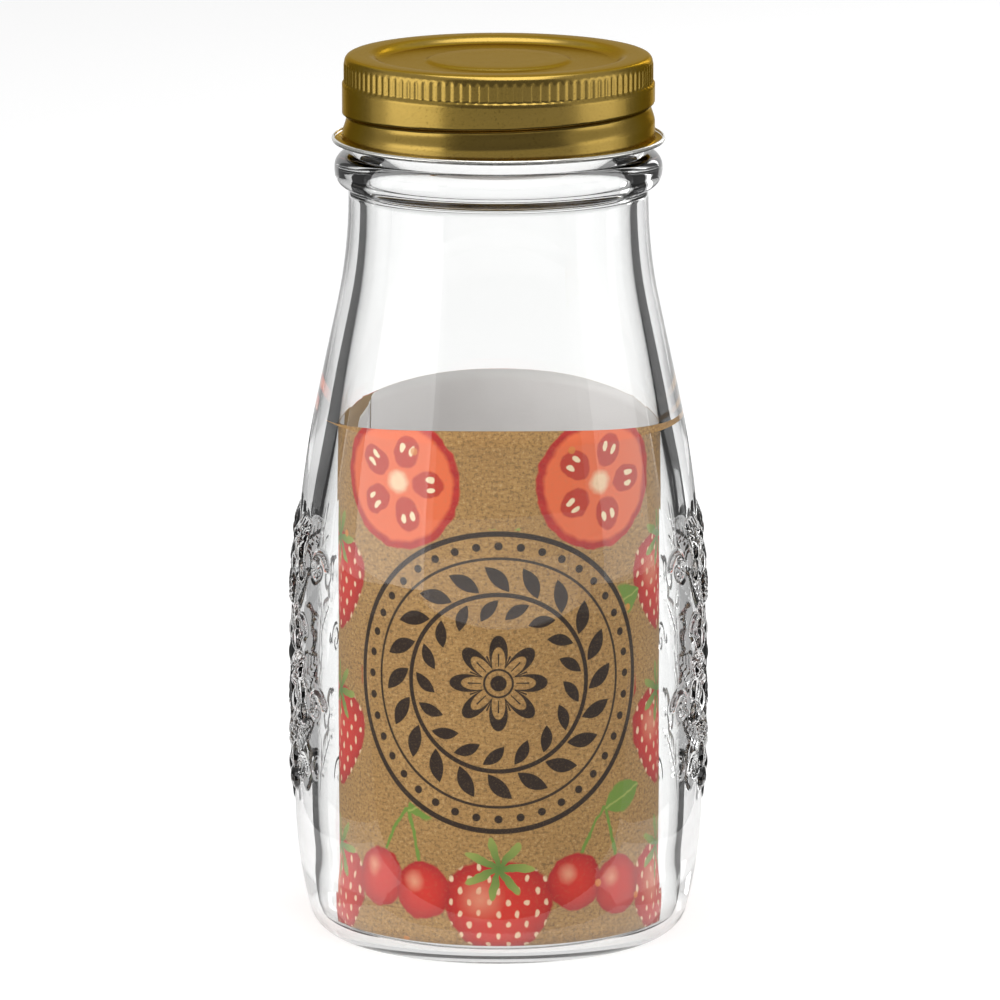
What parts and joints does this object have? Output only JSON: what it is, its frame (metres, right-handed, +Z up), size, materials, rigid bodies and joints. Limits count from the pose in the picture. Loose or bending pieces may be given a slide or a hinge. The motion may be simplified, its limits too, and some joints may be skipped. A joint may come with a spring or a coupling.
{
  "type": "glass storage jar",
  "caption": "Bottle-shaped clear glass preserving jar with a beaded neck, a fluted gold screw lid with a curled hem and a rolled, printed paper sleeve standing inside",
  "frame": {"origin": "the centre of the circle that the jar's foot stands on, at the level of the table", "axes": "+Z up along the jar's axis of revolution, the longest extent; -Y is the front of the printed sleeve, +X is the right-hand relief"},
  "size_m": [0.0764, 0.0764, 0.166],
  "materials": {
    "clear_glass": "clear flint glass, fire-polished, with a raised botanical relief on two sides",
    "gold_lacquered_tinplate": "satin gold lacquer on tinplate, bare silver metal at the curled hem",
    "printed_kraft_paper": "speckled kraft paper printed with red fruit shapes, grey-white and matt inside"
  },
  "bodies": {
    "root": {"jar": "clear_glass", "lid": "gold_lacquered_tinplate", "sleeve": "printed_kraft_paper"}
  },
  "joints": []
}
